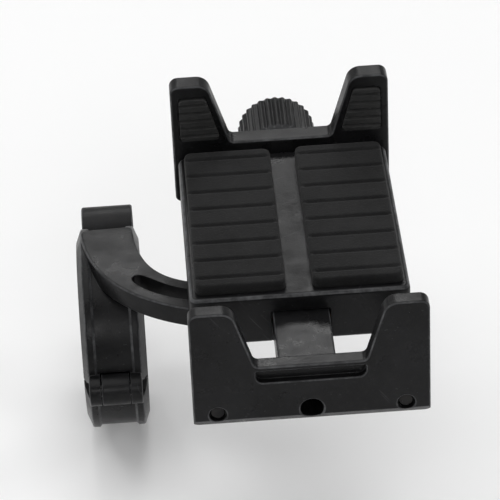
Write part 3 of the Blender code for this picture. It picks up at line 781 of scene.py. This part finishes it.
def make_clamp_hardware():
    pin = bar("hinge_pin_domed", 1.4, -5.4, 5.4, 0.45, HINGE, ALONG_X, 40)
    finish(pin, OXIDE, "arm", "hinge_pin", slot="black_steel")

    place = at(0, BOLT_Y, NUT_Z)
    nut = bar("barrel_nut_slotted", 4.0, -5.3, 5.3, 0.4, place, ALONG_X, 72)
    carve(
        nut,
        bar("nut_thread", M4_BORE, -7, 9, 0.0, place),
        block("slot_left", (-7, -0.45, -6), (-4.5, 0.45, 6), at=place),
        block("slot_right", (4.5, -0.45, -6), (7, 0.45, 6), at=place),
    )
    finish(nut, OXIDE, "arm", "barrel_nut", slot="black_steel")

    place = at(0, BOLT_Y, 0)
    low, top = BOLT_LOW.z, BOLT_HIGH.z
    under = low + 4.0
    shank = [(0.0, top), (1.5, top)]
    shank += reversed(rows(M4_RADIUS, under + 5.0, top - 0.4, M4_PITCH))
    shank += [(M4_RADIUS, under + 1.0), (M4_RADIUS, under - 0.5), (0.0, under - 0.5)]
    thread = thread_shape(M4_PITCH, under + 5.4, top + 0.2)
    bolt = lathe("clamp_bolt_threaded", shank, 40, place, shape=thread)
    radius = 3.5
    head = [(0.0, under), (radius - 0.3, under), (radius, under - 0.3)]
    head += [(radius, under - 0.3 - 3.0 * i / 12) for i in range(1, 13)]
    head += [(radius - 0.45 * i / 4, low + 0.7 * (1 - i / 4)) for i in range(5)]
    head += [(0.0, low)]
    grooved = knurl(radius, 0.17, 36, low + 0.01, under - 0.2)
    cap = lathe("cap", head, 216, place, shape=grooved)
    carve(cap, hex_bar("socket", SOCKET, low - 1, low + 2.5, place), cone_mouth(1.95, low, place))
    weld(bolt, cap)
    finish(bolt, OXIDE, "clamp_bolt", "clamp_bolt", slot="black_steel", angle=24)


# ---------------------------------------------------------------------------------------------
# The tray, its swivel, its claws and its screw, in the tray's own frame
# ---------------------------------------------------------------------------------------------

BODY_LOW, BODY_HIGH = local_box("base_body")
NEAR_LOW, NEAR_HIGH = local_box("near_jaw")
FAR_LOW, FAR_HIGH = local_box("far_jaw")
TRAY_BOTTOM = FAR_LOW.z
NEAR_OUTER = NEAR_LOW.y
NEAR_INNER = NEAR_OUTER + 3.4
FAR_INNER = FAR_LOW.y
FAR_OUTER = FAR_HIGH.y
JAW_EDGE = 0.5
ROD_X = 18.0
HALF_TONGUE = 5.6  # the near jaw's tongue, which slides in the tunnel under the tray
TONGUE_TOP = NEAR_LOW.z + 6.9
TUNNEL_ROOF = NEAR_LOW.z + 7.2
TUNNEL_END = 18.0
FAR_SCREW_X = 11.4
FAR_SCREW_Z = -8.2
SIDES = (("left", -1), ("right", 1))


def tray(x=0.0, y=0.0, z=0.0):
    return SEAT + Vector((x, y, z)) * MM


SCREW_AXIS = tray(z=(SCREW.z - SEAT.z) / MM)


def rod_axis(side):
    return SCREW_AXIS + at(side * ROD_X, 0, 0)


def make_swivel():
    low, high = local_box("friction_ring")
    disc = washer(
        "friction_ring_turned", (3.0, 10.9), (low.z, high.z), (0.1, 0.2), 3, tray(), ALONG_Z, 128
    )
    finish(disc, NYLON, "arm", "friction_ring", slot="nylon")

    low, high = local_box("spring_washer")
    spring = washer(
        "spring_washer_turned", (2.8, 4.8), (low.z, high.z), (0.08, 0.12), 2, tray(), ALONG_Z, 72
    )
    finish(spring, GROUND, "tray", "spring_washer", slot="steel")

    low, high = local_box("swivel_bolt")
    bottom, top = low.z, high.z
    under = bottom + 2.0
    profile = [(0.0, top), (2.1, top)]
    profile += reversed(rows(M5_RADIUS, under + 2.8, top - 0.3, M5_PITCH))
    profile += [(M5_RADIUS, under), (4.4, under), (4.6, under - 0.2), (4.6, bottom + 0.6)]
    profile += [(4.55, bottom + 0.35), (4.3, bottom), (0.0, bottom)]
    thread = thread_shape(M5_PITCH, under + 2.8, top + 0.2)
    bolt = lathe("swivel_bolt_turned", profile, 72, tray(), shape=thread)
    socket = hex_bar("socket", SOCKET, bottom - 1, bottom + 1.4, tray())
    carve(bolt, socket, cone_mouth(2.0, bottom, tray()))
    finish(bolt, OXIDE, "tray", "swivel_bolt", slot="black_steel", angle=24)


def make_body():
    low = (BODY_LOW.x, BODY_LOW.y, TRAY_BOTTOM)
    body = block("tray_body", low, BODY_HIGH, 1.0, 1.5, tray())
    half_tunnel = HALF_TONGUE + 0.3
    tunnel_low = (-half_tunnel, low[1] - 2, low[2] - 2)
    carve(body, block("tunnel", tunnel_low, (half_tunnel, TUNNEL_END, TUNNEL_ROOF), at=tray()))
    hub_top = TRAY_BOTTOM + 0.05
    weld(body, bar("hub", BOSS_RADIUS, BODY_LOW.z, hub_top, 0.45, tray(), steps=128))
    cutters = [
        flared("thread", 2.7, BODY_LOW.z, BODY_LOW.z + 2.2, 0.3, tray(), ends="low"),
        bar("screw_bore", M4_BORE, TUNNEL_END - 1, BODY_HIGH.y + 2, 0.0, SCREW_AXIS, ALONG_Y),
        block("clip_pocket", (-5.2, 20.2, -20), (5.2, 22.6, -5.0), at=tray()),
    ]
    start, end = BODY_LOW.y + 6, BODY_HIGH.y - 6
    bottom, top, radius, depth = -6.6, -4.6, 0.95, 0.7
    corners = ((start, bottom), (end, bottom), (end, top), (start, top))
    groove = fillet([(y, z, radius) for y, z in corners], 8)
    for name, side in SIDES:
        ends = (BODY_LOW.y, BODY_HIGH.y - 3.5)
        bore = flared("rod_bore_" + name, 1.8, *ends, 0.35, rod_axis(side), ALONG_Y, "low")
        wall = side * BODY_HIGH.x
        line = slab("groove_" + name, groove, wall - depth, wall + depth, 0.0, tray(), ACROSS_X)
        cutters += [bore, line]
    carve(body, *cutters)
    finish(body, BLACK, "tray", "base_body", slot="black_anodised")


def make_seat_pad(name, side):
    """A foam pad with a soft rounded rim and shallow grooves across it."""
    low, high = local_box("seat_pad_" + name)
    middle = (low + high) / 2
    half_x, half_y = (high.x - low.x) / 2, (high.y - low.y) / 2
    corner, rim = 1.6, 0.65
    count, half_groove, groove_depth, groove_fade = 8, 0.75, 0.5, 1.2
    grooves = [-half_y + half_y * 2 * (i + 0.5) / count for i in range(count)]
    ripple = 0.03
    columns, lines = 60, 200

    def point(i, j):
        x = -half_x + 2 * half_x * i / columns
        y = -half_y + 2 * half_y * j / lines
        over_x, over_y = abs(x) - (half_x - corner), abs(y) - (half_y - corner)
        if over_x > 0 and over_y > 0 and math.hypot(over_x, over_y) > corner:
            shrink = corner / math.hypot(over_x, over_y)
            x = math.copysign(half_x - corner + over_x * shrink, x)
            y = math.copysign(half_y - corner + over_y * shrink, y)
            depth = 0.0
        elif over_x > 0 and over_y > 0:
            depth = corner - math.hypot(over_x, over_y)
        else:
            depth = min(half_x - abs(x), half_y - abs(y))
        inside = min(depth / rim, 1.0)
        z = high.z - rim * (1 - math.sqrt(1 - (1 - inside) ** 2))
        for groove in grooves:
            away = abs(y - groove) / half_groove
            if away < 1:
                sunk = 0.5 + 0.5 * math.cos(math.pi * away)
                z -= groove_depth * sunk * min(depth / groove_fade, 1.0)
        z -= ripple * (1 + math.sin(1.7 * x + 0.9 * side) * math.cos(0.9 * y + 0.4 * x)) / 2
        return (middle.x + x, middle.y + y, z)

    bm = bmesh.new()
    grid = []
    for i in range(columns + 1):
        grid.append([bm.verts.new(Vector(point(i, j)) * MM) for j in range(lines + 1)])
    for i in range(columns):
        for j in range(lines):
            bm.faces.new((grid[i][j], grid[i + 1][j], grid[i + 1][j + 1], grid[i][j + 1]))
    border = [grid[i][0] for i in range(columns)]
    border += [grid[columns][j] for j in range(lines)]
    border += [grid[i][lines] for i in range(columns, 0, -1)]
    border += [grid[0][j] for j in range(lines, 0, -1)]
    bottom = low.z - 0.1
    foot = [bm.verts.new((v.co.x, v.co.y, bottom * MM)) for v in border]
    for k in range(len(foot)):
        after = (k + 1) % len(foot)
        bm.faces.new((border[k], foot[k], foot[after], border[after]))
    bm.faces.new(list(reversed(foot)))
    pad = piece("foam_pad_" + name, bm, SEAT)
    finish(pad, FOAM, "tray", "seat_pad_" + name, slot="foam", angle=50)


def claw_outline(top, bottom):
    """A U with a leaning inner side to each claw, seen from the rider's side."""
    half, floor, floor_half, lean = NEAR_HIGH.x, 0.6, 10.6, 0.305
    right = [
        (floor_half, floor, 1.2),
        (floor_half + lean * (top - floor), top, 3.0),
        (half, top, 1.8),
        (half, bottom, 1.2),
    ]
    return fillet(right + [(-x, y, radius) for x, y, radius in reversed(right)], 10)


def claw_pad_outline(side, margin):
    """The outline of a claw's recess, or of the pad in it with a margin all round."""
    corners = [(12.4, 1.6), (15.2, 12.1), (21.2, 12.1), (21.2, 1.6)]
    middle = [sum(values) / len(corners) for values in zip(*corners)]
    shrunk = [
        (x - math.copysign(margin, x - middle[0]), y - math.copysign(margin, y - middle[1]), 1.0)
        for x, y in corners
    ]
    return fillet([(side * x, y, radius) for x, y, radius in shrunk])


def plate_y(name, outline, near, far, edge=0.0):
    """A plate that stands across the Y axis, between two places along it."""
    return slab(name, outline, -far, -near, edge, tray(), ACROSS_Y)


def make_claw_pads(jaw, end, face, inwards, body):
    """Ribbed rubber pads in shallow recesses in a jaw's inner face, a little proud of it.

    inwards is 1 or -1, the way along Y from that face to the phone.
    """
    half_pad, recess, clear, margin = 0.6, 0.8, 1.0, 0.2
    lowest, spacing, half, depth = 3.1, 1.85, 0.42, 0.5
    front = face + inwards * half_pad
    for name, side in SIDES:
        ends = sorted((face - inwards * recess, face + inwards * clear))
        carve(jaw, plate_y("recess", claw_pad_outline(side, 0.0), *ends))
        ends = sorted((face - inwards * half_pad, front))
        pad = plate_y(f"{end}_rubber_{name}", claw_pad_outline(side, margin), *ends, 0.25)
        grooves = []
        for k in range(5):
            z = lowest + spacing * k
            diamond = [(front - depth, z), (front, z - half), (front + depth, z), (front, z + half)]
            span = (side * 17 - 9, side * 17 + 9)
            grooves.append(slab(f"groove_{k}", diamond, *span, 0.0, tray(), ACROSS_X))
        carve(pad, *grooves)
        finish(pad, RUBBER, body, f"{end}_pad_{name}", slot="rubber", angle=28)


def pocket(name, face, outwards):
    """A cutter for the pocket across a jaw's outer face, with a chamfer round its mouth."""
    top, bottom, half = -0.4, -3.1, 10.5
    depth, flare, over = 1.5, 0.22, 1.0
    corners = [(-half, bottom, 1.5), (half, bottom, 1.5), (half, top, 0.3), (-half, top, 0.3)]
    outline = fillet(corners, 8)
    loops = []
    for grow, place in ((0.0, -depth), (0.0, -flare), (flare + over, over)):
        y = face + outwards * place
        loops.append([(x, y, z) for x, z in inset(outline, -grow)])
    # The mouth's chamfer takes the lighter edge material, worn and with a painted highlight on the
    # lip
    return piece(name, skin(loops, worn_and_lit=(1,)), SEAT)


def make_near_jaw():
    outline = claw_outline(NEAR_HIGH.z, NEAR_LOW.z)
    jaw = plate_y("jaw_near", outline, NEAR_OUTER, NEAR_INNER, JAW_EDGE)
    tongue_low = (-HALF_TONGUE, NEAR_INNER - 1, NEAR_LOW.z + 0.03)
    tongue_high = (HALF_TONGUE, NEAR_HIGH.y, TONGUE_TOP)
    weld(jaw, block("tongue", tongue_low, tongue_high, 0.4, 0.7, tray()))
    foot = [
        (NEAR_OUTER - 0.75, NEAR_LOW.z + 2.85),
        (NEAR_OUTER - 0.75, NEAR_LOW.z - 1.9),
        (NEAR_OUTER + 3.0, NEAR_LOW.z - 1.9),
    ]
    carve(
        jaw,
        flared("bore", M4_BORE, NEAR_OUTER, NEAR_HIGH.y, 0.3, SCREW_AXIS, ALONG_Y),
        slab("chamfer", foot, -30, 30, 0.0, tray(), ACROSS_X),
        pocket("pocket", NEAR_OUTER, -1),
    )
    for name, side in SIDES:
        axis = rod_axis(side)
        carve(jaw, flared("rod_hole", 1.7, NEAR_OUTER, NEAR_INNER, 0.25, axis, ALONG_Y, "low"))
        low, high = local_box("guide_rod_" + name)
        rod = bar(f"guide_rod_{name}_ground", 1.5, low.y, high.y, 0.3, axis, ALONG_Y, 56)
        finish(rod, ROD_BLACK, "near_jaw", "guide_rod_" + name, slot="black_steel")
    make_claw_pads(jaw, "near", NEAR_INNER, 1, "near_jaw")
    finish(jaw, BLACK, "near_jaw", "near_jaw", slot="black_anodised")


def make_far_jaw():
    outline = claw_outline(FAR_HIGH.z, FAR_LOW.z)
    jaw = plate_y("jaw_far", outline, FAR_INNER, FAR_OUTER, JAW_EDGE)
    carve(
        jaw,
        flared("bore", M4_BORE, FAR_INNER, FAR_OUTER, 0.3, SCREW_AXIS, ALONG_Y, "high"),
        pocket("pocket", FAR_OUTER, 1),
    )
    hole = 1.7
    sink = [(0.0, FAR_OUTER + 1.4), (4.6, FAR_OUTER + 1.4), (hole, FAR_OUTER - 1.5)]
    sink += [(hole, FAR_INNER - 1), (0.0, FAR_INNER - 1)]
    for name, side in SIDES:
        axis = tray(side * FAR_SCREW_X, 0, FAR_SCREW_Z)
        carve(jaw, lathe("sink", sink, 64, axis, ALONG_Y))
        make_far_screw(name, axis)
    make_claw_pads(jaw, "far", FAR_INNER, -1, "tray")
    finish(jaw, BLACK, "tray", "far_jaw", slot="black_anodised")


def make_far_screw(name, axis):
    low, high = local_box("far_screw_" + name)
    top = high.y
    profile = [(0.0, top), (2.75, top), (2.9, top - 0.12), (2.9, top - 0.25), (1.4, top - 1.75)]
    profile += [(1.4, low.y + 0.3), (1.1, low.y), (0.0, low.y)]
    screw = lathe(f"far_screw_{name}_turned", profile, 64, axis, ALONG_Y)
    carve(screw, hex_bar("socket", 2.0, top - 1.3, top + 1, axis, ALONG_Y))
    finish(screw, OXIDE, "tray", "far_screw_" + name, slot="black_steel")


def make_lead_screw():
    low, high = local_box("lead_screw")
    thread_end = 19.0
    groove, groove_start, groove_end = 1.55, 20.7, 21.9
    profile = [(0.0, low.y), (1.45, low.y), *rows(M4_RADIUS, low.y + 0.5, thread_end, M4_PITCH)]
    profile += [(M4_RADIUS, groove_start), (groove, groove_start)]
    profile += [(groove, groove_end), (M4_RADIUS, groove_end)]
    profile += [(M4_RADIUS, high.y - 0.2), (1.75, high.y), (0.0, high.y)]
    thread = thread_shape(M4_PITCH, low.y + 0.2, thread_end)
    screw = lathe("lead_screw_threaded", profile, 40, SCREW_AXIS, ALONG_Y, shape=thread)
    finish(screw, TURNED, "knob", "lead_screw", slot="steel", angle=24)


def make_retaining_clip():
    """An E-shaped clip: an open ring with three prongs that reach in to the screw's groove."""
    low, high = local_box("retaining_clip")
    outer, prong_end, rise, sweep = 4.0, 1.78, 1.05, 280
    prongs = ((45, 8), (135, 8), (270, 13))  # where each one is, and half its width, in degrees
    outline = []
    for k in range(73):
        outline.append(polar(outer, math.radians(130 + sweep * k / 72)))
    for k in range(141):
        degrees = 50 - sweep * k / 140
        away = min(abs(degrees % 360 - middle) / half for middle, half in prongs)
        radius = prong_end + rise * min(max(away - 0.75, 0.0) * 3, 1.0)
        outline.append(polar(radius, math.radians(degrees)))
    clip = slab("retaining_clip_e", outline, low.y, high.y, 0.0, SCREW_AXIS, ALONG_Y)
    finish(clip, OXIDE, "knob", "retaining_clip", slot="black_steel")


def make_knob():
    """A fluted knob with a dished end, on a neck with a small set screw in it."""
    low, high = local_box("knob")
    start, end = low.y, high.y
    radius = (high.x - low.x) / 2
    flutes, depth = 30, 0.55
    neck, blind_end = 5.0, start + 13.9
    rim = [(radius - 1.25 + 1.25 * i / 6, end - 1.1 * i / 6) for i in range(7)]
    grip = [(radius, end - 1.1 - (end - start - 5.3) * i / 16) for i in range(1, 17)]
    back = [(radius - 1.2 * i / 6, start + 4.2 - 1.2 * i / 6) for i in range(1, 7)]
    profile = [
        (0.0, end - 0.55),
        (4.5, end - 0.55),
        (4.9, end - 0.42),
        (5.3, end - 0.08),
        (5.55, end),
        *rim,
        *grip,
        *back,
        (neck + 0.45, start + 3.0),
        (neck + 0.12, start + 2.85),
        (neck, start + 2.5),
        (neck, start + 0.25),
        (neck - 0.25, start),
        (M4_BORE, start),
        (M4_BORE, blind_end),
        (0.0, blind_end),
    ]

    def flute(r, height, angle):
        if r < radius - 1.26 or height < start + 2.9:
            return r
        wave = 0.5 + 0.5 * math.cos(angle * flutes)
        return min(r, radius - depth * wave**1.4)

    knob = lathe("knob_fluted", profile, flutes * 10, SCREW_AXIS, ALONG_Y, shape=flute)
    place = SCREW_AXIS + at(0, start + 1.6, 0)
    carve(knob, bar("set_hole", 1.5, 0, 9, 0.0, place, ALONG_X))
    finish(knob, BLACK, "knob", "knob", slot="black_anodised", angle=30)

    low, high = local_box("knob_set_screw")
    screw = bar("knob_set_screw_turned", 1.25, low.x, high.x, 0.15, place, ALONG_X, 40)
    carve(screw, hex_bar("socket", 1.3, high.x - 1.2, high.x + 1, place, ALONG_X))
    finish(screw, OXIDE, "knob", "knob_set_screw", slot="black_steel")

    low, high = local_box("thrust_washer")
    thrust = washer(
        "thrust_washer_turned", (2.3, 5.6), (low.y, high.y), (0.1, 0.2), 3, SCREW_AXIS, ALONG_Y, 96
    )
    finish(thrust, NYLON, "tray", "thrust_washer", slot="nylon")


make_arm()
make_lower_clamp()
make_liner("liner_upper", "below", "arm")
make_liner("liner_lower", "above", "lower_clamp")
make_clamp_hardware()
make_swivel()
make_body()
for pad_name, pad_side in SIDES:
    make_seat_pad(pad_name, pad_side)
make_near_jaw()
make_far_jaw()
make_lead_screw()
make_retaining_clip()
make_knob()

# ---------------------------------------------------------------------------------------------
# Floor, light and camera, in metres
# ---------------------------------------------------------------------------------------------

MIDDLE = Vector([(a + b) / 2 for a, b in zip(*cad_box)])
FLOOR_DROP = 0.0030
FLOOR_RADIUS = 3.5
FLOOR_STEPS = 96
COVE_RADIUS = 1.2
COVE_STEPS = 16
WALL_HEIGHT = 2.0
WORLD_STRENGTH = 0.27
LIGHTS = (
    # name, place, width and height, watts
    ("overhead", (-0.12, 0.12, 2.00), (2.2, 1.5), 17.5),
    ("front", (0.35, -1.70, 1.20), (1.2, 0.5), 9.0),
    ("back", (0.20, 2.15, 1.90), (1.25, 0.5), 17.0),
    ("side", (-1.90, -0.25, 0.85), (0.75, 1.25), 9.0),
    ("corner", (-1.50, 1.60, 1.70), (0.9, 0.5), 8.0),
    ("right", (1.95, 0.30, 1.00), (0.9, 0.5), 7.0),
)
CAMERA_PLACE = Vector((0.01055, -0.53934, 0.39250))
CAMERA_AIM = MIDDLE + Vector((0.0025, 0.0, 0.0150))
CAMERA_ROLL = math.radians(2.69)
LENS = 222.0
SENSOR_WIDTH = 36.0


def make_floor():
    """A plain pale round floor that curves up into a wall on every side.

    It lies a little under the clamp, so that the opened lower shell stays above it.
    """
    level = cad_box[0][2] - FLOOR_DROP
    shader = Shader("pale_floor")
    shader.surface(Base_Color=(0.90, 0.90, 0.90, 1.0), Roughness=0.8)
    line = [(FLOOR_RADIUS * k / 4, level) for k in range(1, 5)]
    for k in range(1, COVE_STEPS + 1):
        angle = math.pi / 2 * k / COVE_STEPS
        out, up = COVE_RADIUS * math.sin(angle), COVE_RADIUS * (1 - math.cos(angle))
        line.append((FLOOR_RADIUS + out, level + up))
    line.append((FLOOR_RADIUS + COVE_RADIUS, level + COVE_RADIUS + WALL_HEIGHT))
    angles = [math.tau * k / FLOOR_STEPS for k in range(FLOOR_STEPS)]
    bm = bmesh.new()
    rings = [[bm.verts.new((*polar(radius, a), height)) for a in angles] for radius, height in line]
    bm.faces.new(rings[0])
    for inner, outer in zip(rings, rings[1:]):
        for k in range(FLOOR_STEPS):
            after = (k + 1) % FLOOR_STEPS
            bm.faces.new((inner[k], outer[k], outer[after], inner[after]))
    mesh = bpy.data.meshes.new("floor")
    bm.to_mesh(mesh)
    bm.free()
    mesh.shade_smooth()
    mesh.materials.append(shader.material)
    floor = bpy.data.objects.new("floor", mesh)
    scene.collection.objects.link(floor)


def make_world():
    world = bpy.data.worlds.new("soft_studio")
    world.use_nodes = True
    background = world.node_tree.nodes["Background"]
    background.inputs["Color"].default_value = (1.0, 1.0, 1.0, 1.0)
    background.inputs["Strength"].default_value = WORLD_STRENGTH
    scene.world = world


def add_light(name, place, size, power):
    """A rectangular lamp that faces the middle of the mount."""
    light = bpy.data.lights.new(name, "AREA")
    light.shape = "RECTANGLE"
    light.size, light.size_y = size
    light.energy = power
    obj = bpy.data.objects.new(name, light)
    obj.location = place
    obj.rotation_euler = (MIDDLE - Vector(place)).to_track_quat("-Z", "Y").to_euler()
    scene.collection.objects.link(obj)


def make_camera():
    data = bpy.data.cameras.new("camera")
    data.sensor_width = SENSOR_WIDTH
    data.lens = LENS
    camera = bpy.data.objects.new("camera", data)
    camera.location = CAMERA_PLACE
    look = (CAMERA_AIM - CAMERA_PLACE).to_track_quat("-Z", "Y").to_matrix()
    camera.rotation_euler = (look @ Matrix.Rotation(-CAMERA_ROLL, 3, "Z")).to_euler()
    scene.collection.objects.link(camera)
    scene.camera = camera


scene.view_settings.view_transform = "Standard"
make_floor()
make_world()
for lamp in LIGHTS:
    add_light(*lamp)
make_camera()
